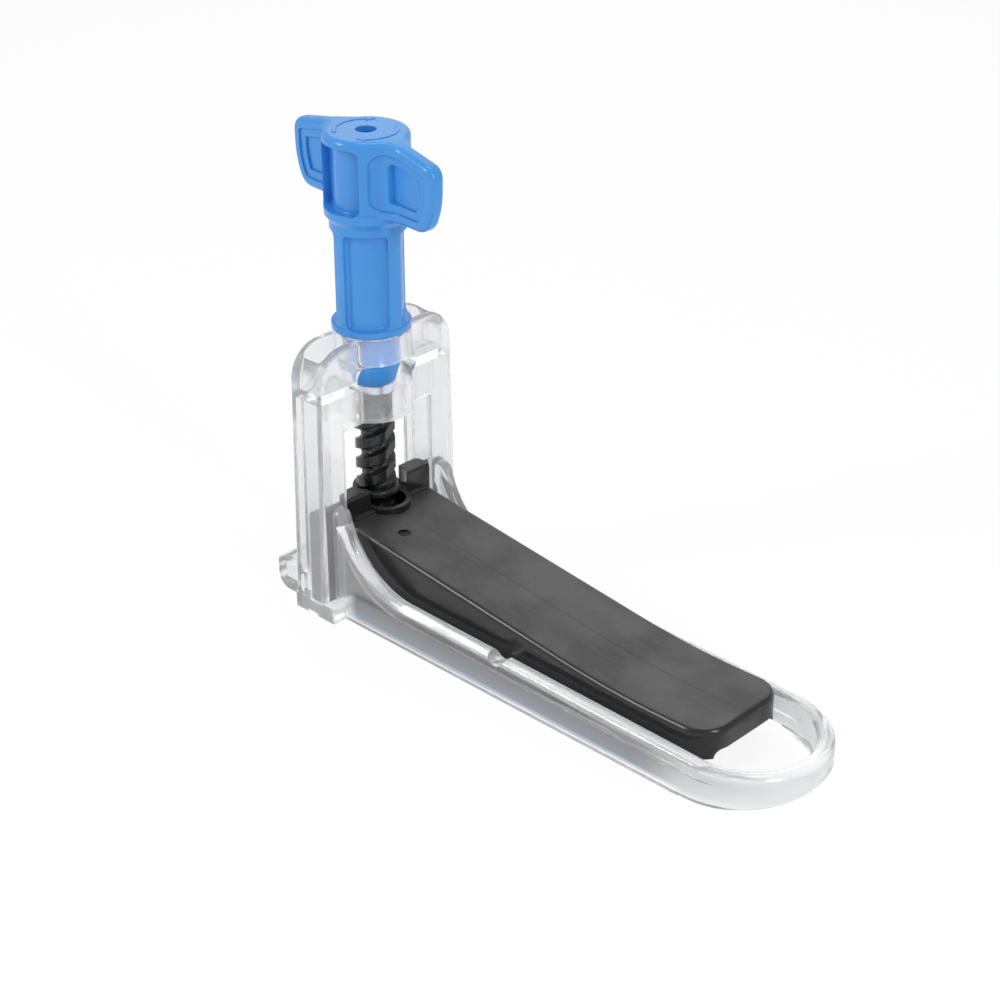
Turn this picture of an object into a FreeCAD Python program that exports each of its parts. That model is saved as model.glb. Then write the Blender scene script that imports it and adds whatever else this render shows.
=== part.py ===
import FreeCAD
import Part
import math
import os

from FreeCAD import Vector

# Tendon retractor, in millimetres.
# A clear moulded frame lies flat as a long loop with a gate-shaped tower at its rear.
# A winged knob turns in the tower's head. It draws up a double-start screw, and the
# screw lifts a long black plate that lies inside the loop.
# X runs along the loop to its round end, Y across it, and Z up.
# The origin is where the screw's axis meets the surface that the frame lies on.

# Loop of the frame, in plan
LOOP_REACH = 147.5          # screw axis to the outside of the round end
TRAY_REACH = 17.3           # screw axis to the outside of the rear wall
RAIL_HALF = 20.75           # half the width over the rails
RAIL_FLANGE = 4.35          # width of a rail's top flange
RAIL_WALL = 2.4             # thickness of a rail's outer wall
FLANGE_THICK = 5.2          # height of the flange above its undercut
RAIL_TOP_REAR = 12.6        # rail height where the gusset would meet it
RAIL_TOP_TIP = 10.4         # rail height at the round end
RAIL_OUTER_ROUND = 2.3      # rounding of the rail's outer top edge
RAIL_INNER_ROUND = 1.7      # rounding of the rail's inner top edge
UNDERCUT_SETBACK = 5.0      # how far short of the round end's ring the undercut stops
HEEL_R = 5.5                # rounding under the round end
HEEL_SWEEP = 3.75           # how much wider than the rails the heel's circle is

# Gusset that sweeps from the rail up to the tower's front
GUSSET_FOOT_X = 14.5        # where its line would meet the rails' top line
GUSSET_CAP = 31.5           # height of its rounded top end
GUSSET_CAP_R = 2.4
GUSSET_LEAN = 72.0          # degrees from level where it meets the tower
GUSSET_R = 23.0

# Half-round notch across each rail
NOTCH_X = 63.5
NOTCH_R = 2.9
NOTCH_RISE = 0.6            # height of the notch's centre above the rail top

# Tray behind the tower
TRAY_HEIGHT = 8.5
TRAY_WALL = 2.0
TRAY_HEEL_R = 4.0
FLOOR_THICK = 3.0

# Tower
TOWER_REAR = 5.5            # screw axis back to the rear face
TOWER_FRONT = 5.4           # screw axis forward to the front face
TOWER_FOOT_HALF = 25.0      # half the width at the foot
TOWER_TOP_HALF = 23.4       # half the width that the drafted sides would have at the top
TOWER_TOP = 75.3
FOOT_FRONT = 9.1            # screw axis forward to the front of the tower's foot
FOOT_HIGH = 4.5
SHOULDER_R = 9.0
FRONT_CORNER_R = 1.4
REAR_CORNER_R = 0.9
POST_INNER = 15.6           # half the clear width between the posts
WINDOW_TOP = 52.2
FRONT_WALL = 1.6
REAR_WALL = 2.0
SIDE_WALL = 2.2             # side wall beside the head's pocket
POST_SIDE_WALL = 2.7        # side wall of a post at its foot
POCKET_FLOOR = 64.0         # floor of the open pocket in the head
POCKET_WEB = 2.5            # thickness of that floor
POCKET_CORNER_R = 1.5

# Guide channel inside each post, and the narrow slot cored beside it
CHANNEL_BACK = 1.2          # screw axis back to the channel
CHANNEL_FRONT = 3.7
CORE_SLOT_WIDTH = 2.0
CORE_SLOT_WEB = 1.0
CORE_SLOT_FLOOR = 10.6

# Two rings that carry the knob and steady the screw
RING_R = 10.3
LOWER_RING_TOP = 60.3
UPPER_RING_FLOOR = 68.0
SLOT_HALF = 10.5            # half the width of the cross slot between the rings

# Screw
SCREW_R = 5.3
SCREW_ROOT_R = 3.75
THREAD_PITCH = 5.7
THREAD_STARTS = 2
THREAD_CREST = 0.47         # share of the pitch that is full crest
THREAD_ROOT = 0.17          # share of the pitch that is full root
SCREW_FLAT = 4.75           # axis to each moulding flat along the thread
FLAT_TURN = 14.0            # degrees from X to the flats' normal
SCREW_TOP = 80.0
SCREW_CHAMFER = 1.2
COLLAR_R = 6.4
COLLAR_BOTTOM = 27.6
COLLAR_TOP = 29.8
COLLAR_ROUND = 0.7
NECK_R = 3.9
SCREW_FOOT_R = 5.0
SCREW_FOOT_THICK = 1.8

# Lifting plate
PLATE_HALF = 15.0           # half the width, over the skirts
PLATE_REACH = 127.0         # screw axis to the tip
PLATE_CORNER_R = 8.0
PLATE_TOP = 24.9            # height of the top face where it leaves the rear wall
PLATE_SLOPE = 6.6           # degrees that the top face falls
BEND_X = 80.0               # where the slope starts to ease off
BEND_R = 250.0
PLATE_SKIN = 2.2
SKIRT_WALL = 1.8
SKIRT_BOTTOM = 4.3
SKIRT_LEVEL_END = 60.0      # the skirts' lower edge is level up to here
SKIRT_TIP_BOTTOM = 7.0
TIP_ARCH_HALF = 11.2        # half the width of the arch cut up into the tip
TIP_ARCH_TOP = 9.2
TIP_ARCH_R = 2.1
PLATE_ROUND = 1.6
RIB_THICK = 1.4
RIB_DEPTH = 3.2
RIB_GAP = 21.0              # spacing of the cross ribs under the plate
GATE_X = 17.3
GATE_Y = -6.5
GATE_R = 1.65
GATE_DEPTH = 0.5

# Rear wall of the plate, its side shoes and the cup that holds the screw's foot
WALL_FRONT = 4.9
WALL_THICK = 4.9
WALL_TOP = 31.6
WALL_ROUND = 1.0
WALL_CORNER_R = 1.6
LEDGE_DEEP = 1.1            # strip along the wall's foot
LEDGE_HIGH = 0.7
LEDGE_ROUND = 0.4
SHOE_TOP = 30.0
SHOE_CORNER_R = 1.9
CORE_SKIN = 2.0
CUP_R = 6.6
KEY_X = 3.7                 # screw axis forward to the middle of the hole that the foot goes in by
CUP_RIM = 26.4
CUP_LIP = 1.6
CUP_FLOOR = 2.0
COLLAR_RECESS = 1.8

# Knob, with the heights of its head counted down from its top
KNOB_TOP = 127.9
HEAD_R = 11.1
HEAD_HEIGHT = 21.2
KNOB_ROUND = 1.6            # rounding of the head's rim and of the wings' edges
SHOULDER_HEIGHT = 1.7       # cone from the tube out to the head
BAND_OUT = 0.08             # how far the band under the wings stands out of the head
BAND_OVER = 0.3             # how far it runs up past the wings' lower rounding
TUBE_R = 10.0
FLANGE_R = 10.35
FLANGE_BOTTOM_GAP = 0.1     # running gap between flange and upper ring
KNOB_FLANGE_THICK = 2.0
KNOB_FLANGE_ROUND = 0.8     # rounding of the flange's lower edge
KNOB_FLANGE_EASE = 0.3      # rounding of its upper edge
SLEEVE_R = 7.2
SLEEVE_GAP = 0.08           # radial running gap in the upper ring
SLEEVE_FOOT_GAP = 0.3       # sleeve to the lower ring
SLEEVE_END_R = 5.95
SLEEVE_TAPER = 4.8          # height of the taper at the sleeve's foot
BEAD_OUT = 0.65             # how far the snap bead stands out of the sleeve
BEAD_HEIGHT = 1.5
BEAD_GAP = 0.3
KNOB_BORE_GAP = 0.1         # radial gap over the screw's crests
LIFT_TRAVEL = 20.0
SCREW_HEADROOM = 2.0        # screw's top to the bore's end when it is right up
KNOB_HOLE_R = 2.65

# Four panels sunk into the tube, and a pocket in each open side of the head
TUBE_PANEL_DEPTH = 1.5
TUBE_PANEL_FOOT = 0.2       # flange up to the panels
TUBE_PANEL_LAND = 3.8       # panels up to the head
TUBE_RIB = 3.75             # width of a rib between two panels
TUBE_PANELS = 4
PANEL_CORNER_R = 1.3
PANEL_FLOOR_ROUND = 0.7
HEAD_POCKET_DEPTH = 2.4
HEAD_POCKET_LAND = 2.3      # head's top down to the pockets
HEAD_POCKET_HEIGHT = 17.0
HEAD_POCKET_HALF = 7.1
HEAD_POCKET_CORNER_R = 1.9
HEAD_POCKET_ROUND = 0.4
QUARTER = 90.0              # degrees from the wings to the pockets

# Wings of the knob
WING_REACH = 27.5
WING_HALF = 2.25
WING_FALL_X = 11.5          # where the wings' top line starts to fall
WING_FALL = 3.2             # how far it falls to the corner
WING_FALL_R = 20.0
WING_HEIGHT = 20.6          # head's top down to the wings' lower edge
WING_BLEND_R = 7.0
WING_SET = 4.2              # degrees that the wings stand turned from X
WING_TOP_R = 3.6
WING_SIDE_R = 20.0
WING_HEEL_R = 5.0
WING_WAIST_X = 27.2
WING_WAIST_DROP = 13.3
WING_HEEL_X = 24.2
RECESS_DEPTH = 0.5
RECESS_INSET = 2.8
RECESS_START = 8.7          # screw axis out to the recess
RECESS_CORNER_R = 3.0
WEB_HALF = 1.15             # half the thickness left between the inner panels
WEB_INSET = 5.0
WEB_START = 11.7
WEB_CORNER_R = 1.0

# Clearances
SLIDE_GAP = 0.3             # plate and shoes to the frame they slide in
GUIDE_GAP = 0.1             # radial gap of the screw in the lower ring
LIFT_GAP = 0.3              # plate to the frame's floor when it is right down

# Values that follow from those above
LOOP_CENTRE = LOOP_REACH - RAIL_HALF
INNER_HALF = RAIL_HALF - RAIL_FLANGE
WALL_INNER_HALF = RAIL_HALF - RAIL_WALL
LEAD = THREAD_PITCH * THREAD_STARTS
FLANGE_BOTTOM = TOWER_TOP + FLANGE_BOTTOM_GAP
FLANGE_TOP = FLANGE_BOTTOM + KNOB_FLANGE_THICK
SLEEVE_BOTTOM = LOWER_RING_TOP + SLEEVE_FOOT_GAP
BEAD_TOP = UPPER_RING_FLOOR - BEAD_GAP
HEAD_BOTTOM = KNOB_TOP - HEAD_HEIGHT
KNOB_BORE_R = SCREW_R + KNOB_BORE_GAP
KNOB_BORE_TOP = SCREW_TOP + LIFT_TRAVEL + SCREW_HEADROOM
LOWER_BORE_R = SCREW_R + GUIDE_GAP
UPPER_BORE_R = SLEEVE_R + SLEEVE_GAP
CHANNEL_HALF = TOWER_FOOT_HALF - POST_SIDE_WALL
POCKET_HALF = TOWER_TOP_HALF - SIDE_WALL
SHOE_HALF = CHANNEL_HALF - SLIDE_GAP
SHOE_BOTTOM = FLOOR_THICK + LIFT_GAP
POCKET_UNDER = POCKET_FLOOR - POCKET_WEB
CUP_BORE_R = SCREW_FOOT_R + SLIDE_GAP
CUP_MOUTH_R = NECK_R + SLIDE_GAP
FOOT_TOP = CUP_RIM - CUP_LIP - SLIDE_GAP
FOOT_BOTTOM = FOOT_TOP - SCREW_FOOT_THICK

EAST = Vector(1, 0, 0)
NORTH = Vector(0, 1, 0)
UP = Vector(0, 0, 1)
FAR = 400.0                 # longer than the whole object, for cutting tools
OVERRUN = 1.0               # how far a cutting tool passes a face, or a joined piece goes into its seat
NEAR = 0.01                 # how close to a plane counts as on it


def rounded_wire(points, radii):
    """Closed wire through the points, with each corner rounded by its own radius."""
    count = len(points)
    starts = []
    ends = []
    middles = []
    for i in range(count):
        corner = points[i]
        back = (points[i - 1] - corner).normalize()
        ahead = (points[(i + 1) % count] - corner).normalize()
        if radii[i] <= 0:
            starts.append(corner)
            ends.append(corner)
            middles.append(None)
            continue
        half = back.getAngle(ahead) / 2
        reach = radii[i] / math.tan(half)
        bisector = (back + ahead).normalize()
        starts.append(corner + back * reach)
        ends.append(corner + ahead * reach)
        middles.append(corner + bisector * (radii[i] / math.sin(half) - radii[i]))
    edges = []
    for i in range(count):
        if middles[i] is not None:
            edges.append(Part.Arc(starts[i], middles[i], ends[i]).toShape())
        following = starts[(i + 1) % count]
        if ends[i].distanceToPoint(following) > 1e-6:
            edges.append(Part.makeLine(ends[i], following))
    return Part.Wire(edges)


def prism(wire, direction, start, length):
    """Solid swept from the wire's plane, from start over length along direction."""
    face = Part.Face(wire)
    face.translate(direction * start)
    return face.extrude(direction * length)


def side_prism(corners, half, start=None):
    """Prism of an X, Z outline across Y. Each corner is (x, z, radius)."""
    points = [Vector(x, 0, z) for x, z, r in corners]
    wire = rounded_wire(points, [r for x, z, r in corners])
    low = -half if start is None else start
    return prism(wire, NORTH, low, half - low)


def plan_prism(corners, bottom, top):
    """Prism of an X, Y outline over a height. Each corner is (x, y, radius)."""
    points = [Vector(x, y, 0) for x, y, r in corners]
    wire = rounded_wire(points, [r for x, y, r in corners])
    return prism(wire, UP, bottom, top - bottom)


def block(x0, x1, y0, y1, z0, z1):
    """Box between two corners."""
    return Part.makeBox(x1 - x0, y1 - y0, z1 - z0, Vector(x0, y0, z0))


def rod(radius, bottom, top):
    """Cylinder on the screw's axis."""
    return Part.makeCylinder(radius, top - bottom, Vector(0, 0, bottom))


def turned(profile):
    """Solid of revolution about the screw's axis, from (radius, height) points."""
    points = [Vector(r, 0, z) for r, z in profile]
    wire = Part.makePolygon(points + points[:1])
    return Part.Face(wire).revolve(Vector(0, 0, 0), UP, 360)


def mirrored(shape):
    """The same shape on the other side of the centre plane."""
    return shape.mirror(Vector(0, 0, 0), NORTH)


def round_edges(shape, radius, wanted):
    """Rounds the edges whose middle point passes the test."""
    edges = [edge for edge in shape.Edges if wanted(edge_middle(edge), edge)]
    return shape.makeFillet(radius, edges) if edges else shape


def edge_middle(edge):
    """Point half way along an edge."""
    first, last = edge.ParameterRange
    return edge.valueAt((first + last) / 2)


def edge_run(edge):
    """Direction of an edge half way along it."""
    first, last = edge.ParameterRange
    return edge.tangentAt((first + last) / 2).normalize()


def upright(edge):
    """Whether an edge runs straight up."""
    return abs(edge_run(edge).z) > 1 - NEAR ** 2


def across(edge):
    """Whether an edge runs straight along Y."""
    return abs(edge_run(edge).y) > 1 - NEAR ** 2


def save(name, shape):
    """Writes a piece to its own file."""
    piece = shape.removeSplitter()
    piece.exportStep(os.path.join("parts", name + ".step"))
    print(name, "solids", len(piece.Solids), "valid", piece.isValid(), "volume", round(piece.Volume, 1))


def rail_top(x):
    """Height of the rails' top line at a distance from the screw's axis."""
    fall = (RAIL_TOP_REAR - RAIL_TOP_TIP) / (LOOP_REACH - TOWER_FRONT)
    return RAIL_TOP_REAR - fall * (x - TOWER_FRONT)


def racetrack(half, rear, bottom, top, setback=0):
    """Loop outline of one half-width: square at the rear, a half circle at the tip."""
    centre = Vector(LOOP_CENTRE - setback, 0, 0)
    south_edge = Part.makeLine(Vector(rear, -half, 0), centre + Vector(0, -half, 0))
    nose = Part.Arc(centre + Vector(0, -half, 0), centre + Vector(half, 0, 0), centre + Vector(0, half, 0))
    north_edge = Part.makeLine(centre + Vector(0, half, 0), Vector(rear, half, 0))
    closing = Part.makeLine(Vector(rear, half, 0), Vector(rear, -half, 0))
    wire = Part.Wire([south_edge, nose.toShape(), north_edge, closing])
    return prism(wire, UP, bottom, top - bottom)


def rail_side(lowered):
    """Side view of gusset and rails as a prism, lowered by a distance."""
    lean = math.radians(GUSSET_LEAN)
    rear = TOWER_FRONT - FRONT_WALL
    bend_x = GUSSET_FOOT_X - lowered / math.sin(lean) / 2
    bend_z = rail_top(bend_x) - lowered
    cap = GUSSET_CAP - lowered
    return side_prism([
        (rear, 0, 0),
        (LOOP_REACH, 0, 0),
        (LOOP_REACH, rail_top(LOOP_REACH) - lowered, 0),
        (bend_x, bend_z, GUSSET_R),
        (bend_x - (cap - bend_z) / math.tan(lean), cap, GUSSET_CAP_R),
        (rear, cap, 0),
    ], FAR / 2)


def rails():
    """Both rails, their gussets and the round end, with the flange undercut and the notches."""
    rear = TOWER_FRONT - FRONT_WALL
    outer = racetrack(RAIL_HALF, rear, 0, FAR).common(rail_side(0))
    body = outer.cut(racetrack(INNER_HALF, rear - OVERRUN, -OVERRUN, FAR))

    def on_top(point, half):
        beyond = point.x > LOOP_CENTRE
        reach = math.hypot(point.x - LOOP_CENTRE, point.y) if beyond else abs(point.y)
        return abs(reach - half) < NEAR and point.z > rail_top(point.x) - NEAR and point.x > rear + NEAR

    body = round_edges(body, RAIL_OUTER_ROUND, lambda p, e: on_top(p, RAIL_HALF))
    body = round_edges(body, RAIL_INNER_ROUND, lambda p, e: on_top(p, INNER_HALF))
    under = racetrack(WALL_INNER_HALF, rear - OVERRUN, -OVERRUN, FAR, UNDERCUT_SETBACK)
    under = under.common(rail_side(FLANGE_THICK))
    notch = Part.makeCylinder(NOTCH_R, FAR, Vector(NOTCH_X, -FAR / 2, rail_top(NOTCH_X) + NOTCH_RISE), NORTH)
    return body.cut([heel(), under, notch])


def heel():
    """What is taken off below the round end to leave its heel rounded."""
    sweep = RAIL_HALF + HEEL_SWEEP
    start = sweep - HEEL_R
    corner = Vector(sweep + OVERRUN, 0, -OVERRUN)
    middle = Vector(start + HEEL_R * math.sin(math.pi / 4), 0, HEEL_R - HEEL_R * math.cos(math.pi / 4))
    edges = [
        Part.Arc(Vector(start, 0, 0), middle, Vector(sweep, 0, HEEL_R)).toShape(),
        Part.makeLine(Vector(sweep, 0, HEEL_R), Vector(corner.x, 0, HEEL_R)),
        Part.makeLine(Vector(corner.x, 0, HEEL_R), corner),
        Part.makeLine(corner, Vector(start, 0, corner.z)),
        Part.makeLine(Vector(start, 0, corner.z), Vector(start, 0, 0)),
    ]
    section = Part.Face(Part.Wire(edges))
    section.rotate(Vector(0, 0, 0), UP, -90)
    cutter = section.revolve(Vector(0, 0, 0), UP, 180)
    cutter.translate(EAST * (LOOP_REACH - sweep))
    return cutter


def tray():
    """Open tray behind the tower, with the floor that runs on below the tower."""
    outer = side_prism([
        (-TRAY_REACH, 0, TRAY_HEEL_R),
        (TOWER_FRONT, 0, 0),
        (TOWER_FRONT, TRAY_HEIGHT, 0),
        (-TRAY_REACH, TRAY_HEIGHT, 0),
    ], RAIL_HALF)
    inside = block(-TRAY_REACH + TRAY_WALL, FAR, -WALL_INNER_HALF, WALL_INNER_HALF, FLOOR_THICK, FAR)
    return outer.cut(inside)


def tower_shell():
    """Gate-shaped tower with its window, before pockets and channels."""
    gate_points = [
        Vector(0, -TOWER_FOOT_HALF, 0),
        Vector(0, TOWER_FOOT_HALF, 0),
        Vector(0, TOWER_TOP_HALF, TOWER_TOP),
        Vector(0, -TOWER_TOP_HALF, TOWER_TOP),
    ]
    outline = rounded_wire(gate_points, [0, 0, SHOULDER_R, SHOULDER_R])
    gate = prism(outline, EAST, -TOWER_REAR, TOWER_FRONT + TOWER_REAR)
    for face_x, radius in ((TOWER_FRONT, FRONT_CORNER_R), (-TOWER_REAR, REAR_CORNER_R)):
        gate = round_edges(gate, radius, lambda p, e: abs(p.x - face_x) < NEAR and p.z > NEAR)
    window = block(-FAR, FAR, -POST_INNER, POST_INNER, FLOOR_THICK, WINDOW_TOP)
    return gate.cut(window)


def tower_hollows():
    """Everything that is cored out of the tower's posts and head."""
    back = -TOWER_REAR + REAR_WALL
    front = TOWER_FRONT - FRONT_WALL
    pocket = plan_prism([
        (back, -POCKET_HALF, POCKET_CORNER_R),
        (front, -POCKET_HALF, POCKET_CORNER_R),
        (front, POCKET_HALF, POCKET_CORNER_R),
        (back, POCKET_HALF, POCKET_CORNER_R),
    ], POCKET_FLOOR, FAR)
    under_head = block(back, front, -POST_INNER, POST_INNER, WINDOW_TOP - OVERRUN, POCKET_UNDER)
    channel = block(-CHANNEL_BACK, CHANNEL_FRONT, POST_INNER - OVERRUN, CHANNEL_HALF, FLOOR_THICK, POCKET_UNDER)
    slot_front = -CHANNEL_BACK - CORE_SLOT_WEB
    core_slot = block(slot_front - CORE_SLOT_WIDTH, slot_front, POST_INNER - OVERRUN, CHANNEL_HALF,
                      CORE_SLOT_FLOOR, POCKET_UNDER)
    return [pocket, under_head, channel, mirrored(channel), core_slot, mirrored(core_slot)]


def clear_frame():
    """The whole clear moulding."""
    foot = block(-TOWER_REAR, FOOT_FRONT, WALL_INNER_HALF, TOWER_FOOT_HALF, 0, FOOT_HIGH)
    frame = tower_shell().fuse([rails(), tray(), foot, mirrored(foot)])
    frame = frame.cut(tower_hollows())
    frame = frame.fuse(rod(RING_R, WINDOW_TOP, TOWER_TOP))
    slot_height = UPPER_RING_FLOOR - LOWER_RING_TOP
    end_r = slot_height / 2 - NEAR
    slot_points = [
        Vector(0, -SLOT_HALF, LOWER_RING_TOP),
        Vector(0, SLOT_HALF, LOWER_RING_TOP),
        Vector(0, SLOT_HALF, UPPER_RING_FLOOR),
        Vector(0, -SLOT_HALF, UPPER_RING_FLOOR),
    ]
    cross_slot = prism(rounded_wire(slot_points, [end_r] * 4), EAST, -FAR / 2, FAR)
    return frame.cut([
        cross_slot,
        rod(LOWER_BORE_R, WINDOW_TOP - OVERRUN, LOWER_RING_TOP + OVERRUN),
        rod(UPPER_BORE_R, UPPER_RING_FLOOR - OVERRUN, TOWER_TOP + OVERRUN),
    ])


def thread_section():
    """Cross-section of the threaded rod: crests, roots and straight flanks."""
    turn = 2 * math.pi / THREAD_STARTS
    crest = THREAD_CREST * turn / 2
    root = THREAD_ROOT * turn / 2

    def at(radius, angle):
        return Vector(radius * math.cos(angle), radius * math.sin(angle), 0)

    edges = []
    for start in range(THREAD_STARTS):
        middle = start * turn
        valley = middle + turn / 2
        edges.append(Part.Arc(at(SCREW_R, middle - crest), at(SCREW_R, middle),
                              at(SCREW_R, middle + crest)).toShape())
        edges.append(Part.makeLine(at(SCREW_R, middle + crest), at(SCREW_ROOT_R, valley - root)))
        edges.append(Part.Arc(at(SCREW_ROOT_R, valley - root), at(SCREW_ROOT_R, valley),
                              at(SCREW_ROOT_R, valley + root)).toShape())
        edges.append(Part.makeLine(at(SCREW_ROOT_R, valley + root), at(SCREW_R, middle + turn - crest)))
    return Part.Wire(edges)


def threaded_rod(bottom, top):
    """Right-hand rod of the thread section, twisted once in each lead."""
    length = top - bottom
    spine = Part.Wire(Part.makeLine(Vector(0, 0, 0), Vector(0, 0, length)))
    guide = Part.makeHelix(LEAD, length, SCREW_R)
    shell = Part.BRepOffsetAPI.MakePipeShell(spine)
    shell.setAuxiliarySpine(Part.Wire(guide.Edges), True, 0)
    shell.add(thread_section())
    shell.build()
    shell.makeSolid()
    twisted = shell.shape()
    twisted.translate(UP * bottom)
    return twisted


def lift_screw():
    """Black screw: twisted rod, collar, neck and the foot that snaps into the cup."""
    thread = threaded_rod(COLLAR_TOP - OVERRUN, SCREW_TOP)
    envelope = turned([
        (0, COLLAR_BOTTOM), (SCREW_R, COLLAR_BOTTOM), (SCREW_R, SCREW_TOP - SCREW_CHAMFER),
        (SCREW_R - SCREW_CHAMFER, SCREW_TOP), (0, SCREW_TOP),
    ])
    flats = block(-SCREW_FLAT, SCREW_FLAT, -FAR, FAR, 0, FAR)
    flats.rotate(Vector(0, 0, 0), UP, FLAT_TURN)
    thread = thread.common(envelope).common(flats)
    collar = round_edges(rod(COLLAR_R, COLLAR_BOTTOM, COLLAR_TOP), COLLAR_ROUND, lambda p, e: e.Length > COLLAR_R)
    neck = rod(NECK_R, FOOT_BOTTOM, COLLAR_BOTTOM + OVERRUN)
    foot = rod(SCREW_FOOT_R, FOOT_BOTTOM, FOOT_TOP)
    return thread.fuse([collar, neck, foot])


def plate_side(lowered, bottom_edge):
    """Side view of the plate under its top line, lowered by a skin thickness."""
    slope = math.radians(PLATE_SLOPE)
    start = Vector(WALL_FRONT - WALL_THICK, 0, PLATE_TOP + math.tan(slope) * WALL_THICK - lowered)
    bend = Vector(BEND_X, 0, PLATE_TOP - math.tan(slope) * (BEND_X - WALL_FRONT) - lowered)
    centre = bend + Vector(math.sin(slope), 0, math.cos(slope)) * BEND_R
    ends = []
    for x in ((BEND_X + PLATE_REACH) / 2, PLATE_REACH + 1):
        ends.append(Vector(x, 0, centre.z - math.sqrt(BEND_R ** 2 - (x - centre.x) ** 2)))
    edges = [Part.makeLine(start, bend), Part.Arc(bend, ends[0], ends[1]).toShape()]
    corners = [ends[1]] + [Vector(x, 0, z) for x, z in bottom_edge] + [start]
    for first, second in zip(corners, corners[1:]):
        edges.append(Part.makeLine(first, second))
    return prism(Part.Wire(edges), NORTH, -FAR / 2, FAR)


def plate_plan(inset, rear, bottom, top):
    """Plan outline of the plate, drawn in by a wall thickness."""
    return plan_prism([
        (rear, -PLATE_HALF + inset, 0),
        (PLATE_REACH - inset, -PLATE_HALF + inset, PLATE_CORNER_R - inset),
        (PLATE_REACH - inset, PLATE_HALF - inset, PLATE_CORNER_R - inset),
        (rear, PLATE_HALF - inset, 0),
    ], bottom, top)


def plate_shell():
    """Long top skin with its skirts, open underneath, with cross ribs."""
    rear = WALL_FRONT - WALL_THICK
    lower_edge = [
        (PLATE_REACH + OVERRUN, SKIRT_TIP_BOTTOM),
        (SKIRT_LEVEL_END, SKIRT_BOTTOM),
        (rear, SKIRT_BOTTOM),
    ]
    body = plate_side(0, lower_edge).common(plate_plan(0, rear, 0, FAR))
    top_rim = lambda p, e: p.z > TIP_ARCH_TOP + OVERRUN and p.x > WALL_FRONT and not upright(e)
    body = round_edges(body, PLATE_ROUND, top_rim)
    hollow_edge = [(PLATE_REACH + OVERRUN, 0), (rear, 0)]
    hollow = plate_side(PLATE_SKIN, hollow_edge).common(plate_plan(SKIRT_WALL, WALL_FRONT, 0, FAR))
    ribs = []
    count = int((PLATE_REACH - PLATE_CORNER_R - WALL_FRONT) / RIB_GAP)
    rib_zone = plate_side(PLATE_SKIN / 2, hollow_edge).cut(plate_side(PLATE_SKIN + RIB_DEPTH, hollow_edge))
    for i in range(1, count + 1):
        x = WALL_FRONT + i * RIB_GAP
        rib = block(x, x + RIB_THICK, -PLATE_HALF + SKIRT_WALL / 2, PLATE_HALF - SKIRT_WALL / 2, 0, FAR)
        ribs.append(rib.common(rib_zone))
    arch_points = [
        Vector(0, -TIP_ARCH_HALF, 0),
        Vector(0, TIP_ARCH_HALF, 0),
        Vector(0, TIP_ARCH_HALF, TIP_ARCH_TOP),
        Vector(0, -TIP_ARCH_HALF, TIP_ARCH_TOP),
    ]
    arch_wire = rounded_wire(arch_points, [0, 0, TIP_ARCH_R, TIP_ARCH_R])
    arch = prism(arch_wire, EAST, PLATE_REACH - PLATE_CORNER_R, FAR)
    return body.cut([hollow, arch]).fuse(ribs)


def plate_rear():
    """Rear wall with its side shoes, cored out from behind."""
    back = WALL_FRONT - WALL_THICK
    wall = block(back, WALL_FRONT, -PLATE_HALF, PLATE_HALF, SHOE_BOTTOM, WALL_TOP)
    wall = round_edges(wall, WALL_CORNER_R, lambda p, e: p.x < back + NEAR and abs(p.y) > PLATE_HALF - NEAR)
    wall = round_edges(wall, WALL_ROUND, lambda p, e: p.z > WALL_TOP - NEAR and p.x > WALL_FRONT - NEAR)
    ledge = block(back, WALL_FRONT + LEDGE_DEEP, -PLATE_HALF + SKIRT_WALL, PLATE_HALF - SKIRT_WALL,
                  PLATE_TOP - PLATE_SKIN / 2, PLATE_TOP + LEDGE_HIGH)
    ledge = round_edges(ledge, LEDGE_ROUND, lambda p, e: p.z > PLATE_TOP + LEDGE_HIGH - NEAR)
    shoe_back = -CHANNEL_BACK + SLIDE_GAP
    shoe_front = CHANNEL_FRONT - SLIDE_GAP
    shoes = side_prism([
        (shoe_back, SHOE_BOTTOM, 0),
        (shoe_front, SHOE_BOTTOM, 0),
        (shoe_front, SHOE_TOP, SHOE_CORNER_R),
        (shoe_back, SHOE_TOP, SHOE_CORNER_R),
    ], SHOE_HALF)
    shoes = shoes.cut(block(-FAR, FAR, -PLATE_HALF + SKIRT_WALL, PLATE_HALF - SKIRT_WALL, 0, FAR))
    core_top = PLATE_TOP - PLATE_SKIN
    core = block(back - OVERRUN, WALL_FRONT - CORE_SKIN, CUP_R + CORE_SKIN, PLATE_HALF - CORE_SKIN,
                 SHOE_BOTTOM + CORE_SKIN, core_top)
    return wall.cut([core, mirrored(core)]).fuse([shoes, ledge])


def lift_plate():
    """The whole black plate, with the keyhole cup that the screw's foot slides into."""
    plate = plate_shell().fuse(plate_rear())
    plate = plate.fuse(keyway(CUP_R, FOOT_BOTTOM - SLIDE_GAP - CUP_FLOOR, CUP_RIM))
    key_hole = rod(CUP_BORE_R, FOOT_BOTTOM - SLIDE_GAP, CUP_RIM + OVERRUN)
    key_hole.translate(EAST * KEY_X)
    return plate.cut([
        keyway(CUP_BORE_R, FOOT_BOTTOM - SLIDE_GAP, FOOT_TOP + SLIDE_GAP),
        keyway(CUP_MOUTH_R, FOOT_BOTTOM - SLIDE_GAP, CUP_RIM + OVERRUN),
        key_hole,
        rod(COLLAR_R + COLLAR_RECESS, CUP_RIM, WALL_TOP + OVERRUN),
        Part.makeCylinder(GATE_R, FAR, Vector(GATE_X, GATE_Y, gate_floor())),
    ])


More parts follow.
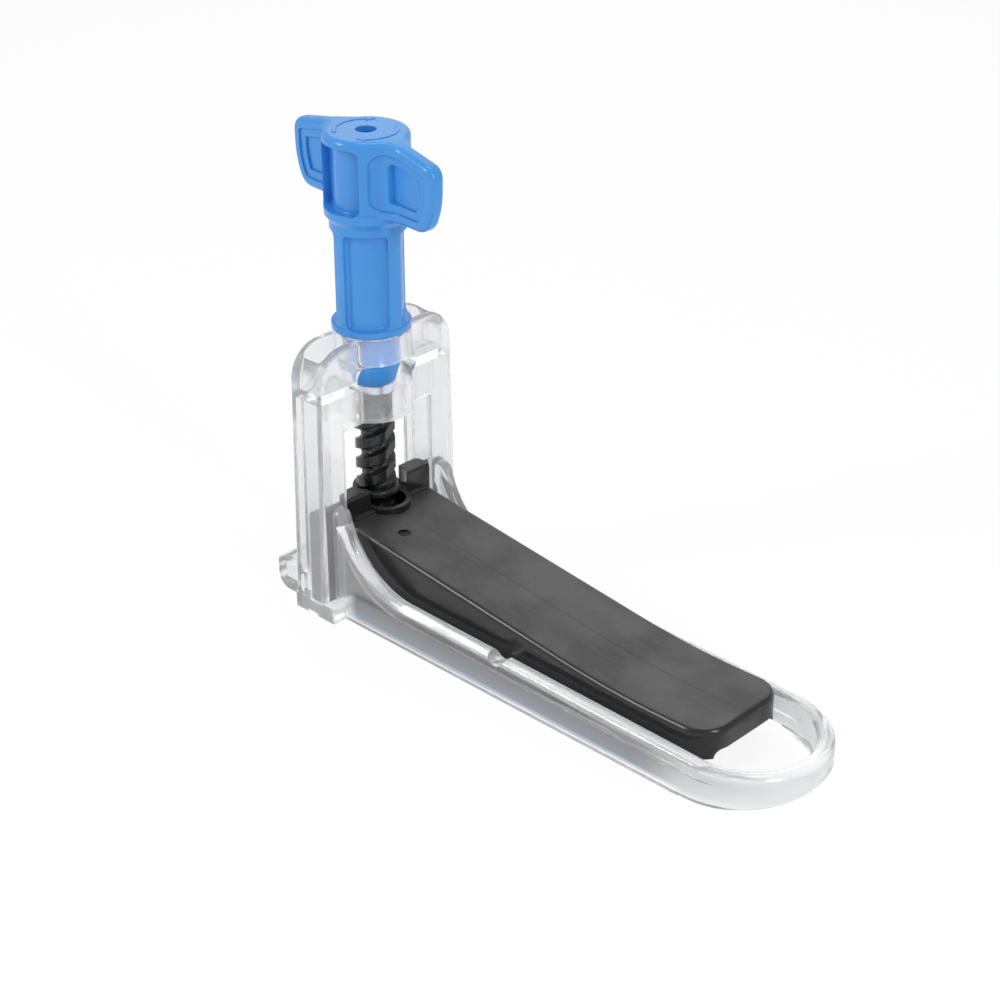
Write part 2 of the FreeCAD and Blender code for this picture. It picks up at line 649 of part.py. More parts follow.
def keyway(radius, bottom, top):
    """Upright slot with round ends, from the screw's axis forward to the keyhole."""
    front = rod(radius, bottom, top)
    front.translate(EAST * KEY_X)
    return rod(radius, bottom, top).fuse([front, block(0, KEY_X, -radius, radius, bottom, top)]).removeSplitter()


def gate_floor():
    """Height of the bottom of the moulding-gate mark."""
    return PLATE_TOP - math.tan(math.radians(PLATE_SLOPE)) * (GATE_X + GATE_R - WALL_FRONT) - GATE_DEPTH


def sunk(floor_r, rim_r, bottom, top, plan, corner_r, floor_round):
    """Cutter for a panel sunk into a round surface, as wide as its plan."""
    sector = rod(rim_r, bottom, top).cut(rod(floor_r, bottom, top)).common(plan).removeSplitter()
    sector = round_edges(sector, corner_r,
                         lambda p, e: isinstance(e.Curve, Part.Line) and not upright(e))
    return round_edges(sector, floor_round, lambda p, e: abs(math.hypot(p.x, p.y) - floor_r) < NEAR)


def tube_panels():
    """Cutters that leave the tube with an upright rib between each two panels."""
    half = 180 / TUBE_PANELS - math.degrees(TUBE_RIB / TUBE_R) / 2
    ends = [Vector(FAR * math.cos(math.radians(turn)), FAR * math.sin(math.radians(turn)), 0)
            for turn in (-half, half)]
    wedge = Part.Face(Part.makePolygon([Vector(0, 0, 0)] + ends + [Vector(0, 0, 0)])).extrude(UP * FAR)
    panel = sunk(TUBE_R - TUBE_PANEL_DEPTH, FLANGE_R + OVERRUN, FLANGE_TOP + TUBE_PANEL_FOOT,
                 HEAD_BOTTOM - TUBE_PANEL_LAND, wedge, PANEL_CORNER_R, PANEL_FLOOR_ROUND)
    panels = []
    for i in range(TUBE_PANELS):
        turned_panel = panel.copy()
        turned_panel.rotate(Vector(0, 0, 0), UP, (i + 0.5) * 360 / TUBE_PANELS)
        panels.append(turned_panel)
    return panels


def head_pockets():
    """Cutters for the pockets in the head, one on each side between the wings."""
    top = KNOB_TOP - HEAD_POCKET_LAND
    slab = block(0, FAR, -HEAD_POCKET_HALF, HEAD_POCKET_HALF, 0, FAR)
    pocket = sunk(HEAD_R - HEAD_POCKET_DEPTH, HEAD_R + OVERRUN, top - HEAD_POCKET_HEIGHT, top,
                  slab, HEAD_POCKET_CORNER_R, HEAD_POCKET_ROUND)
    pocket.rotate(Vector(0, 0, 0), UP, QUARTER)
    return [pocket, mirrored(pocket)]


def wing_edge(side):
    """Outer corners of one wing in X, Z view, from its top line round to its lower edge."""
    return [
        (side * WING_FALL_X, KNOB_TOP, WING_FALL_R),
        (side * WING_REACH, KNOB_TOP - WING_FALL, WING_TOP_R),
        (side * WING_WAIST_X, KNOB_TOP - WING_WAIST_DROP, WING_SIDE_R),
        (side * WING_HEEL_X, KNOB_TOP - WING_HEIGHT, WING_HEEL_R),
    ]


def wing_plan(drawn_in):
    """Plan of head and wings with the concave blends between them."""
    radius = HEAD_R - drawn_in
    half = WING_HALF - drawn_in
    blend = WING_BLEND_R + drawn_in
    centre_y = half + blend
    centre_x = math.sqrt((radius + blend) ** 2 - centre_y ** 2)
    slab = block(-FAR, FAR, -half, half, 0, FAR)
    share = radius / (radius + blend)
    touch = Vector(centre_x * share, centre_y * share, 0)
    web = Part.Face(Part.makePolygon([
        Vector(0, 0, 0), Vector(centre_x, 0, 0), Vector(centre_x, centre_y, 0), touch, Vector(0, 0, 0),
    ])).extrude(UP * FAR)
    web = web.cut(Part.makeCylinder(blend, FAR, Vector(centre_x, centre_y, 0)))
    web_far = mirrored(web)
    webs = [web, web_far, web.mirror(Vector(0, 0, 0), EAST), web_far.mirror(Vector(0, 0, 0), EAST)]
    return slab.fuse([rod(radius, 0, FAR)] + webs).removeSplitter()


def wing_hollow(start, inset, corner_r, low):
    """Cutter for a recess on one wing, drawn in from the wing's edge, from low on along Y."""
    corners = [(start - inset, KNOB_TOP - WING_HEIGHT, 0), (start - inset, KNOB_TOP, 0)] + wing_edge(1)
    wire = rounded_wire([Vector(x, 0, z) for x, z, r in corners], [r for x, z, r in corners])
    hollow = prism(wire.makeOffset2D(-inset), NORTH, low, FAR)
    return round_edges(hollow, corner_r, lambda p, e: across(e) and p.x < start + NEAR)


def wings():
    """Head and wings in one, with soft edges and two stepped recesses on each side of each wing."""
    left = wing_edge(-1)
    body = side_prism(wing_edge(1) + left[::-1], FAR / 2).common(wing_plan(0))
    body = round_edges(body, KNOB_ROUND, lambda p, e: not upright(e) and not across(e))
    recess = wing_hollow(RECESS_START, RECESS_INSET, RECESS_CORNER_R, -FAR / 2).cut(wing_plan(RECESS_DEPTH))
    web = wing_hollow(WEB_START, WEB_INSET, WEB_CORNER_R, WEB_HALF)
    cutters = [recess, web, mirrored(web)]
    return body, cutters + [cutter.mirror(Vector(0, 0, 0), EAST) for cutter in cutters]


def wing_knob():
    """Blue knob: head with wings, ribbed tube, flange, sleeve and snap bead."""
    core_top = KNOB_TOP - 2 * KNOB_ROUND
    core_r = HEAD_R - HEAD_POCKET_DEPTH
    band_r = HEAD_R + BAND_OUT
    band_top = KNOB_TOP - WING_HEIGHT + KNOB_ROUND + BAND_OVER
    body = turned([
        (0, SLEEVE_BOTTOM), (SLEEVE_END_R, SLEEVE_BOTTOM), (SLEEVE_R, SLEEVE_BOTTOM + SLEEVE_TAPER),
        (SLEEVE_R, BEAD_TOP - BEAD_HEIGHT), (SLEEVE_R + BEAD_OUT, BEAD_TOP - BEAD_OUT),
        (SLEEVE_R + BEAD_OUT, BEAD_TOP), (SLEEVE_R, BEAD_TOP),
        (SLEEVE_R, FLANGE_BOTTOM), (FLANGE_R, FLANGE_BOTTOM), (FLANGE_R, FLANGE_TOP), (TUBE_R, FLANGE_TOP),
        (TUBE_R, HEAD_BOTTOM - SHOULDER_HEIGHT), (band_r, HEAD_BOTTOM), (band_r, band_top), (core_r, band_top),
        (core_r, core_top), (0, core_top),
    ])
    for height, radius in ((FLANGE_BOTTOM, KNOB_FLANGE_ROUND), (FLANGE_TOP, KNOB_FLANGE_EASE)):
        body = round_edges(body, radius, lambda p, e: (
            abs(math.hypot(p.x, p.y) - FLANGE_R) < NEAR and abs(p.z - height) < NEAR))
    head, recesses = wings()
    knob = body.fuse(head).cut(tube_panels() + head_pockets())
    knob = knob.cut(recesses)
    knob = knob.cut([
        rod(KNOB_BORE_R, SLEEVE_BOTTOM - OVERRUN, KNOB_BORE_TOP),
        rod(KNOB_HOLE_R, KNOB_BORE_TOP - OVERRUN, KNOB_TOP + OVERRUN),
    ])
    knob.rotate(Vector(0, 0, 0), UP, -WING_SET)
    return knob


os.makedirs("parts", exist_ok=True)
save("clear_frame", clear_frame())
save("wing_knob", wing_knob())
save("lift_screw", lift_screw())
save("lift_plate", lift_plate())
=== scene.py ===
"""Visual model of a tendon retractor.

A clear moulded frame stands on its long open loop. A blue wing knob turns in the top of the frame's
tower and lifts a black screw, which carries a black plate up between the rails. The four rigid parts
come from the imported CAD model. This script dresses them in moulded plastics and adds the fine
mouldings that stand on them. All lengths are in metres unless a name says otherwise.
"""

from __future__ import annotations

import logging
import math
from dataclasses import dataclass, field
from enum import Enum
from typing import Mapping, Sequence

import bmesh
import bpy
from mathutils import Matrix, Vector

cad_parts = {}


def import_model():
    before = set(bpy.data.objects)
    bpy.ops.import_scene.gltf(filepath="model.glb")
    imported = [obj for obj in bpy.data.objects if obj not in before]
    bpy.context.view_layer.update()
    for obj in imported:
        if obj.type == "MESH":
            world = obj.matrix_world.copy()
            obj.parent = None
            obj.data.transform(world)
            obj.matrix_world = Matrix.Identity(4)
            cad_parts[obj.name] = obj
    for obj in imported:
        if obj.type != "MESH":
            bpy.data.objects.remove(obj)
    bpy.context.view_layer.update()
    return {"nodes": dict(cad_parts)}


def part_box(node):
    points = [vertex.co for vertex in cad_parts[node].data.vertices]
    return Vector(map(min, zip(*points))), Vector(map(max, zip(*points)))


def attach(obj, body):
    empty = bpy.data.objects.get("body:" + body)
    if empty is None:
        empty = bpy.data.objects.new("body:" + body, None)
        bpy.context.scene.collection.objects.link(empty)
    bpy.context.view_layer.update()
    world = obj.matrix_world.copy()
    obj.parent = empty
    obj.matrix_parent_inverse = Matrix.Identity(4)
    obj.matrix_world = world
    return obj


MM = 0.001
# Most of a noise pattern lies between these two values.
NOISE_LOW = 0.3
NOISE_HIGH = 0.7
LOG = logging.getLogger("tendon_retractor")


class Body(Enum):
    """The moving bodies that carry fine mouldings."""

    KNOB = "knob"
    CARRIAGE = "carriage"


class Slot(Enum):
    """Names of the record's material slots for the fine mouldings; nothing in this script uses them."""

    BLUE = "blue_plastic"
    PLATE = "black_plate_plastic"


class Part(Enum):
    """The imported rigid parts."""

    FRAME = "clear_frame"
    KNOB = "wing_knob"
    SCREW = "lift_screw"
    PLATE = "lift_plate"


def linear(hex_colour: str) -> tuple[float, float, float, float]:
    """Turn an sRGB hex colour into the linear colour that a shader takes.

    Args:
        hex_colour: Six hex digits, with or without a leading hash.

    Returns:
        Red, green, blue and an alpha of 1, all from 0 to 1.
    """
    digits = hex_colour.lstrip("#")
    channels = []
    for start in (0, 2, 4):
        value = int(digits[start:start + 2], 16) / 255
        channels.append(value / 12.92 if value <= 0.04045 else ((value + 0.055) / 1.055) ** 2.4)
    return channels[0], channels[1], channels[2], 1.0


def add_node(
    tree: bpy.types.NodeTree,
    kind: str,
    settings: Mapping[str | int, object] | None = None,
    links: Mapping[str | int, bpy.types.NodeSocket] | None = None,
) -> bpy.types.Node:
    """Add a node with its settings and its incoming links.

    Args:
        tree: The node tree that takes the node.
        kind: The node's type name.
        settings: Values for the node's own properties, or for its sockets by name or number.
        links: The socket that feeds each input, by the input's name or number.

    Returns:
        The new node.
    """
    node = tree.nodes.new(kind)
    for key, value in (settings or {}).items():
        if isinstance(key, str) and key in node.bl_rna.properties:
            setattr(node, key, value)
        else:
            node.inputs[key].default_value = value
    for key, socket in (links or {}).items():
        tree.links.new(socket, node.inputs[key])
    return node


def per_mm(size_mm: float) -> float:
    """Texture scale in metre coordinates for a pattern whose features are this many millimetres."""
    return 1000 / size_mm


def smooth_mask(
    tree: bpy.types.NodeTree, edges: Sequence[tuple[bpy.types.NodeSocket, float, float]]
) -> bpy.types.NodeSocket:
    """Mask the places where each of several values is past its edge.

    Args:
        tree: The node tree.
        edges: For each value its socket, where the mask starts and where it is full.

    Returns:
        A socket that rises smoothly from 0 to 1.
    """
    mask = None
    for value, start, full in edges:
        edge = add_node(
            tree, "ShaderNodeMapRange",
            {"interpolation_type": "SMOOTHSTEP", "From Min": start, "From Max": full}, {"Value": value},
        ).outputs["Result"]
        if mask is not None:
            both = add_node(tree, "ShaderNodeMath", {"operation": "MULTIPLY"}, {0: mask, 1: edge})
            edge = both.outputs["Value"]
        mask = edge
    return mask


@dataclass(frozen=True)
class Finish:
    """One moulded plastic: its name and colour, its gloss, its softened edges and its faint relief.

    The gloss spread is the least and the greatest share of the roughness that a pattern gives.
    """

    name: str
    colour: str
    roughness: float
    ior: float
    edge_round: float
    relief: float
    gloss_spread: tuple[float, float]
    edge_samples: int = 4

    def material(self) -> bpy.types.Material:
        """Build the node material.

        Returns:
            The finished material.
        """
        material = bpy.data.materials.new(self.name)
        material.use_nodes = True
        material.node_tree.nodes.clear()
        self.dress(material.node_tree)
        return material

    def dress(self, tree: bpy.types.NodeTree) -> None:
        """Fill the material's node tree; each plastic has its own.

        Args:
            tree: The empty node tree.
        """
        raise NotImplementedError

    def shader(
        self,
        tree: bpy.types.NodeTree,
        links: Mapping[str | int, bpy.types.NodeSocket],
        transmission: float = 0.0,
    ) -> bpy.types.Node:
        """Add the main shader with this plastic's constants.

        Args:
            tree: The node tree.
            links: Sockets that vary the shader from place to place.
            transmission: The share of light that goes through the plastic.

        Returns:
            The shader node.
        """
        constants = {
            "Base Color": linear(self.colour),
            "Roughness": self.roughness,
            "IOR": self.ior,
            "Transmission Weight": transmission,
        }
        return add_node(tree, "ShaderNodeBsdfPrincipled", constants, links)

    def uneven_gloss(
        self, tree: bpy.types.NodeTree, pattern: bpy.types.NodeSocket
    ) -> bpy.types.NodeSocket:
        """Let the roughness follow a pattern, because no moulding is equally glossy all over.

        Args:
            tree: The node tree.
            pattern: The pattern, from 0 to 1.

        Returns:
            The roughness that the shader takes.
        """
        least, most = self.gloss_spread
        gloss = add_node(
            tree, "ShaderNodeMapRange",
            {
                "From Min": NOISE_LOW, "From Max": NOISE_HIGH,
                "To Min": self.roughness * least, "To Max": self.roughness * most,
            },
            {"Value": pattern},
        )
        return gloss.outputs["Result"]

    def rounded_normal(
        self, tree: bpy.types.NodeTree, height: bpy.types.NodeSocket
    ) -> bpy.types.NodeSocket:
        """Soften the moulded edges and lay the surface's relief over them.

        Args:
            tree: The node tree.
            height: The relief, from 0 to 1.

        Returns:
            The normal that the shader takes.
        """
        bump = add_node(
            tree, "ShaderNodeBump", {"Strength": 1.0, "Distance": self.relief}, {"Height": height}
        )
        if self.edge_round:
            edge = add_node(
                tree, "ShaderNodeBevel", {"samples": self.edge_samples, "Radius": self.edge_round}
            )
            tree.links.new(edge.outputs["Normal"], bump.inputs["Normal"])
        return bump.outputs["Normal"]


@dataclass(frozen=True)
class ClearPolycarbonate(Finish):
    """Polycarbonate moulded clear: bright and see-through, with a faint haze, soft flow waves and a
    painted reflection of the black plate on the rails' flanks.

    Its edges have real fillets, so the shader rounds none. Each pair of limits is where a mask starts
    and where it is full.
    """

    name: str = "moulded_clear_polycarbonate"
    colour: str = "FDFDFE"
    roughness: float = 0.13
    ior: float = 1.585
    edge_round: float = 0.0
    relief: float = 0.02 * MM
    gloss_spread: tuple[float, float] = (0.6, 1.5)
    haze: float = 0.125
    flow_mm: float = 9.0
    flow_draw: float = 0.25
    shadow_colour: str = "F0F2F3"
    # Painted reflection: the black plate mirrored in the rails' flanks, the shaded floor at their foot, a
    # paler grey on the bend.
    plate_reflection_colour: str = "A8A9AC"
    shaded_floor_view_colour: str = "A1ABB8"
    pale_reflection_colour: str = "E6E7E8"
    line_colour: str = "D2D6DA"
    speckle_mm: float = 0.5
    flank_level: tuple[float, float] = (0.6, 0.3)
    flank_start: tuple[float, float] = (9 * MM, 14 * MM)
    flank_foot: tuple[float, float] = (1.0 * MM, 1.8 * MM)
    flank_top: tuple[float, float] = (10.2 * MM, 8.6 * MM)
    strip_top: tuple[float, float] = (4.4 * MM, 4.0 * MM)
    strip_speckle: tuple[float, float] = (0.35, 0.5)
    bend_start: tuple[float, float] = (108 * MM, 126 * MM)
    witness_height: float = 64 * MM
    witness_edge: tuple[float, float] = (0.16 * MM, 0.0)

    def dress(self, tree: bpy.types.NodeTree) -> None:
        """Fill the node tree.

        Args:
            tree: The empty node tree.
        """
        place = add_node(tree, "ShaderNodeTexCoord")
        # Melt flows along the rails, so the waves are drawn out in X.
        along = add_node(
            tree, "ShaderNodeMapping", {"Scale": (self.flow_draw, 1.0, 1.0)},
            {"Vector": place.outputs["Object"]},
        )
        flow = add_node(
            tree, "ShaderNodeTexNoise", {"Scale": per_mm(self.flow_mm), "Detail": 2.0},
            {"Vector": along.outputs["Vector"]},
        )
        # A moulded clear part is glossy but never optical: the polish varies from place to place.
        clear = self.shader(
            tree,
            {
                # The base colour carries a painted reflection on the rails' flanks.
                "Base Color": self.flank_reflection(tree, place),
                "Roughness": self.uneven_gloss(tree, flow.outputs["Fac"]),
                "Normal": self.rounded_normal(tree, flow.outputs["Fac"]),
            },
            1.0 - self.haze,
        )
        # Light passes through the clear walls, so that they shade what is behind them only a little.
        light_path = add_node(tree, "ShaderNodeLightPath")
        passing = add_node(tree, "ShaderNodeBsdfTransparent", {"Color": linear(self.shadow_colour)})
        shown = add_node(
            tree, "ShaderNodeMixShader", {},
            {
                0: light_path.outputs["Is Shadow Ray"],
                1: clear.outputs["BSDF"],
                2: passing.outputs["BSDF"],
            },
        )
        add_node(tree, "ShaderNodeOutputMaterial", {}, {"Surface": shown.outputs["Shader"]})

    def flank_reflection(self, tree: bpy.types.NodeTree, place: bpy.types.Node) -> bpy.types.NodeSocket:
        """Paint a reflection into the rails' flanks, which mirror the black plate from within.

        Args:
            tree: The node tree.
            place: The texture coordinate node.

        Returns:
            The colour that the shader takes.
        """
        spot = add_node(tree, "ShaderNodeSeparateXYZ", {}, {"Vector": place.outputs["Object"]})
        facing = add_node(tree, "ShaderNodeSeparateXYZ", {}, {"Vector": place.outputs["Normal"]})
        level = add_node(tree, "ShaderNodeMath", {"operation": "ABSOLUTE"}, {0: facing.outputs["Z"]})
        # The painted reflection keeps to steep faces in front of the tower, between the rails' foot and
        # their tops.
        flank = smooth_mask(tree, (
            (level.outputs["Value"], *self.flank_level),
            (spot.outputs["X"], *self.flank_start),
            (spot.outputs["Z"], *self.flank_foot),
            (spot.outputs["Z"], *self.flank_top),
        ))
        speckle = add_node(
            tree, "ShaderNodeTexNoise", {"Scale": per_mm(self.speckle_mm), "Detail": 1.0},
            {"Vector": place.outputs["Object"]},
        )
        # A blue-grey strip runs along the rails' foot, speckled where the floor shows through: a painted
        # view of the floor in the plate's shade.
        strip = smooth_mask(tree, (
            (spot.outputs["Z"], *self.strip_top), (speckle.outputs["Fac"], *self.strip_speckle),
        ))
        shade = add_node(
            tree, "ShaderNodeMix",
            {"data_type": "RGBA", 6: linear(self.plate_reflection_colour), 7: linear(self.shaded_floor_view_colour)}, {0: strip},
        )
        # Past the plate's tip only the rail's own haze is left, so the bend's painted reflection is much
        # paler.
        paling = add_node(
            tree, "ShaderNodeMix", {"data_type": "RGBA", 7: linear(self.pale_reflection_colour)},
            {0: smooth_mask(tree, ((spot.outputs["X"], *self.bend_start),)), 6: shade.outputs[2]},
        )
        # The painted reflection is mixed into the clear base colour on the flanks only.
        tint = add_node(
            tree, "ShaderNodeMix", {"data_type": "RGBA", 6: linear(self.colour)},
            {0: flank, 7: paling.outputs[2]},
        )
        # The two halves of the mould met at one height of the tower and left a hairline there.
        offset = add_node(
            tree, "ShaderNodeMath", {"operation": "SUBTRACT", 1: self.witness_height},
            {0: spot.outputs["Z"]},
        )
        distance = add_node(
            tree, "ShaderNodeMath", {"operation": "ABSOLUTE"}, {0: offset.outputs["Value"]}
        )
        on_line = smooth_mask(tree, ((distance.outputs["Value"], *self.witness_edge),))
        lined = add_node(
            tree, "ShaderNodeMix", {"data_type": "RGBA", 7: linear(self.line_colour)},
            {0: on_line, 6: tint.outputs[2]},
        )
        return lined.outputs[2]


@dataclass(frozen=True)
class BluePolypropylene(Finish):
    """Polypropylene moulded blue: an even colour, a soft sheen and broad highlights on round edges."""

    name: str = "moulded_blue_polypropylene"
    colour: str = "388FDE"
    roughness: float = 0.23
    ior: float = 1.49
    edge_round: float = 0.4 * MM
    relief: float = 0.008 * MM
    gloss_spread: tuple[float, float] = (0.85, 1.2)
    light_colour: str = "489EEA"
    cloud_mm: float = 14.0
    grain_mm: float = 0.5

    def dress(self, tree: bpy.types.NodeTree) -> None:
        """Fill the node tree.

        Args:
            tree: The empty node tree.
        """
        place = add_node(tree, "ShaderNodeTexCoord")
        cloud = add_node(
            tree, "ShaderNodeTexNoise", {"Scale": per_mm(self.cloud_mm), "Detail": 1.0},
            {"Vector": place.outputs["Object"]},
        )
        # Pigment is never quite even in a moulding: it pales a little in slow clouds.
        tint = add_node(
            tree, "ShaderNodeMix",
            {"data_type": "RGBA", 6: linear(self.colour), 7: linear(self.light_colour)},
            {0: cloud.outputs["Fac"]},
        )
        # The real grain of a polished mould is finer; it is drawn at half a millimetre so that it shows.
        grain = add_node(
            tree, "ShaderNodeTexNoise", {"Scale": per_mm(self.grain_mm), "Detail": 3.0},
            {"Vector": place.outputs["Object"]},
        )
        shader = self.shader(
            tree,
            {
                "Base Color": tint.outputs[2],
                "Roughness": self.uneven_gloss(tree, cloud.outputs["Fac"]),
                "Normal": self.rounded_normal(tree, grain.outputs["Fac"]),
            },
        )
        add_node(tree, "ShaderNodeOutputMaterial", {}, {"Surface": shader.outputs["BSDF"]})


@dataclass(frozen=True)
class BlackNylon(Finish):
    """Nylon moulded black: deep, glossy and slightly uneven where the thread's halves met."""

    name: str = "moulded_black_nylon"
    colour: str = "131416"
    roughness: float = 0.25
    ior: float = 1.53
    edge_round: float = 0.2 * MM
    relief: float = 0.04 * MM
    gloss_spread: tuple[float, float] = (0.7, 1.4)
    ripple_mm: float = 1.6

    def dress(self, tree: bpy.types.NodeTree) -> None:
        """Fill the node tree.

        Args:
            tree: The empty node tree.
        """
        place = add_node(tree, "ShaderNodeTexCoord")
        ripple = add_node(
            tree, "ShaderNodeTexNoise", {"Scale": per_mm(self.ripple_mm), "Detail": 3.0},
            {"Vector": place.outputs["Object"]},
        )
        shader = self.shader(
            tree,
            {
                "Roughness": self.uneven_gloss(tree, ripple.outputs["Fac"]),
                "Normal": self.rounded_normal(tree, ripple.outputs["Fac"]),
            },
        )
        add_node(tree, "ShaderNodeOutputMaterial", {}, {"Surface": shader.outputs["BSDF"]})


@dataclass(frozen=True)
class SatinBlackPlastic(Finish):
    """Plastic moulded black with a satin, lightly scuffed top and glossy sides. The top is painted
    lighter than the sides, a painted sheen, and darker close to the screw, a painted shade.

    Each wipe is the direction of its scuffs in degrees and how far they are drawn out: the smaller
    the number, the longer the scuffs.
    """

    name: str = "moulded_satin_black_plastic"
    # The top's grey is painted lighter than the sides' black: a painted sheen.
    colour: str = "50504F"
    roughness: float = 0.42
    ior: float = 1.53
    edge_round: float = 0.4 * MM
    relief: float = 0.012 * MM
    gloss_spread: tuple[float, float] = (0.92, 1.08)
    side_roughness: float = 0.24
    side_colour: str = "181717"
    top_facing: tuple[float, float] = (0.85, 0.97)
    cloud_mm: float = 16.0
    # Dark end of the random blotches, and of the painted shade close to the screw.
    blotch_and_shade_colour: str = "323231"
    blotch_band: tuple[float, float] = (0.36, 0.6)
    # Painted shade close to the screw fades out between these two distances.
    shade_fade_start: float = 5 * MM
    shade_fade_end: float = 17 * MM
    shaded_paleness: float = 0.25
    scuff_mm: float = 0.8
    scuff_detail: float = 0.65
    scuff_band: tuple[float, float] = (0.5, 0.7)
    scuff_colour: str = "484847"
    wipes: tuple[tuple[float, float], ...] = ((38.0, 0.12), (-64.0, 0.2))
    parting_half: float = 0.26 * MM
    parting_depth: float = 0.75
    parting_start: float = 9 * MM
    parting_fade: float = 1 * MM

    def dress(self, tree: bpy.types.NodeTree) -> None:
        """Fill the node tree.

        Args:
            tree: The empty node tree.
        """
        place = add_node(tree, "ShaderNodeTexCoord")
        facing = add_node(tree, "ShaderNodeSeparateXYZ", {}, {"Vector": place.outputs["Normal"]})
        top = add_node(
            tree, "ShaderNodeMapRange",
            {"From Min": self.top_facing[0], "From Max": self.top_facing[1]},
            {"Value": facing.outputs["Z"]},
        )
        cloud = add_node(
            tree, "ShaderNodeTexNoise", {"Scale": per_mm(self.cloud_mm), "Detail": 4.0},
            {"Vector": place.outputs["Object"]},
        )
        # Wiping leaves short scuffs this way and that, so two drawn-out patterns cross each other.
        sweeps = []
        for turn_deg, stretch in self.wipes:
            wiped = add_node(
                tree, "ShaderNodeMapping",
                {"Rotation": (0.0, 0.0, math.radians(turn_deg)), "Scale": (stretch, 1.0, 1.0)},
                {"Vector": place.outputs["Object"]},
            )
            sweep = add_node(
                tree, "ShaderNodeTexNoise",
                {"Scale": per_mm(self.scuff_mm), "Detail": 4.0, "Roughness": self.scuff_detail},
                {"Vector": wiped.outputs["Vector"]},
            )
            sweeps.append(sweep.outputs["Fac"])
        scuffs = add_node(
            tree, "ShaderNodeMix", {"data_type": "FLOAT"},
            {0: cloud.outputs["Fac"], 2: sweeps[0], 3: sweeps[1]},
        )
        marks = add_node(
            tree, "ShaderNodeMapRange",
            {"From Min": self.scuff_band[0], "From Max": self.scuff_band[1]},
            {"Value": scuffs.outputs[0]},
        )
        marks_on_top = add_node(
            tree, "ShaderNodeMath", {"operation": "MULTIPLY"},
            {0: marks.outputs["Result"], 1: top.outputs["Result"]},
        )
        # Handling leaves the satin blotchy. Close to the screw and the tower's wall the satin is painted
        # darker: painted shade.
        blotch = add_node(
            tree, "ShaderNodeMapRange",
            {"From Min": self.blotch_band[0], "From Max": self.blotch_band[1]},
            {"Value": cloud.outputs["Fac"]},
        )
        spot = add_node(tree, "ShaderNodeSeparateXYZ", {}, {"Vector": place.outputs["Object"]})
        out_of_shade = add_node(
            tree, "ShaderNodeMapRange",
            {
                "interpolation_type": "SMOOTHSTEP", "From Min": self.shade_fade_start, "From Max": self.shade_fade_end,
                "To Min": self.shaded_paleness,
            },
            {"Value": spot.outputs["X"]},
        )
        paleness = add_node(
            tree, "ShaderNodeMath", {"operation": "MULTIPLY"},
            {0: blotch.outputs["Result"], 1: out_of_shade.outputs["Result"]},
        )
        satin_tone = add_node(
            tree, "ShaderNodeMix",
            {"data_type": "RGBA", 6: linear(self.blotch_and_shade_colour), 7: linear(self.colour)},
            {0: paleness.outputs["Value"]},
        )
        # The top takes the lighter satin tone and the sides their black: a painted sheen on the top.
        sheen_on_top = add_node(
            tree, "ShaderNodeMix", {"data_type": "RGBA", 6: linear(self.side_colour)},
            {0: top.outputs["Result"], 7: satin_tone.outputs[2]},
        )
        scuffed = add_node(
            tree, "ShaderNodeMix", {"data_type": "RGBA", 7: linear(self.scuff_colour)},
            {0: marks_on_top.outputs["Value"], 6: sheen_on_top.outputs[2]},
        )
        tint = add_node(
            tree, "ShaderNodeMix", {"data_type": "RGBA", 7: linear(self.side_colour)},
            {0: self.parting_line(tree, spot, top), 6: scuffed.outputs[2]},
        )
        rough = add_node(
            tree, "ShaderNodeMix", {"data_type": "FLOAT", 2: self.side_roughness},
            {0: top.outputs["Result"], 3: self.uneven_gloss(tree, cloud.outputs["Fac"])},
        )
        shader = self.shader(
            tree,
            {
                "Base Color": tint.outputs[2],
                "Roughness": rough.outputs[0],
                "Normal": self.rounded_normal(tree, scuffs.outputs[0]),
            },
        )
        add_node(tree, "ShaderNodeOutputMaterial", {}, {"Surface": shader.outputs["BSDF"]})

    def parting_line(
        self, tree: bpy.types.NodeTree, spot: bpy.types.Node, top: bpy.types.Node
    ) -> bpy.types.NodeSocket:
        """Mask the hairline down the middle of the top, where two mould inserts met.

        Args:
            tree: The node tree.
            spot: The node that gives a point's X, Y and Z.
            top: The node that is 1 on the top face.

        Returns:
            A socket that rises towards 1 on the line.
        """
        aside = add_node(tree, "ShaderNodeMath", {"operation": "ABSOLUTE"}, {0: spot.outputs["Y"]})
        line = add_node(
            tree, "ShaderNodeMapRange",
            {"From Min": self.parting_half, "From Max": 0.0, "To Max": self.parting_depth},
            {"Value": aside.outputs["Value"]},
        )
        begun = add_node(
            tree, "ShaderNodeMapRange",
            {"From Min": self.parting_start, "From Max": self.parting_start + self.parting_fade},
            {"Value": spot.outputs["X"]},
        )
        on_top = add_node(
            tree, "ShaderNodeMath", {"operation": "MULTIPLY"},
            {0: line.outputs["Result"], 1: top.outputs["Result"]},
        )
        shown = add_node(
            tree, "ShaderNodeMath", {"operation": "MULTIPLY"},
            {0: on_top.outputs["Value"], 1: begun.outputs["Result"]},
        )
        return shown.outputs["Value"]


def mesh_object(name: str, mesh: bmesh.types.BMesh, finish: bpy.types.Material) -> bpy.types.Object:
    """Turn built geometry into a smooth, finished object.

    Args:
        name: The object's name.
        mesh: The built geometry, which is freed.
        finish: The material.

    Returns:
        The object, linked to the scene.
    """
    data = bpy.data.meshes.new(name)
    bmesh.ops.recalc_face_normals(mesh, faces=mesh.faces)
    mesh.to_mesh(data)
    mesh.free()
    data.materials.append(finish)
    for polygon in data.polygons:
        polygon.use_smooth = True
    shown = bpy.data.objects.new(name, data)
    bpy.context.scene.collection.objects.link(shown)
    return shown


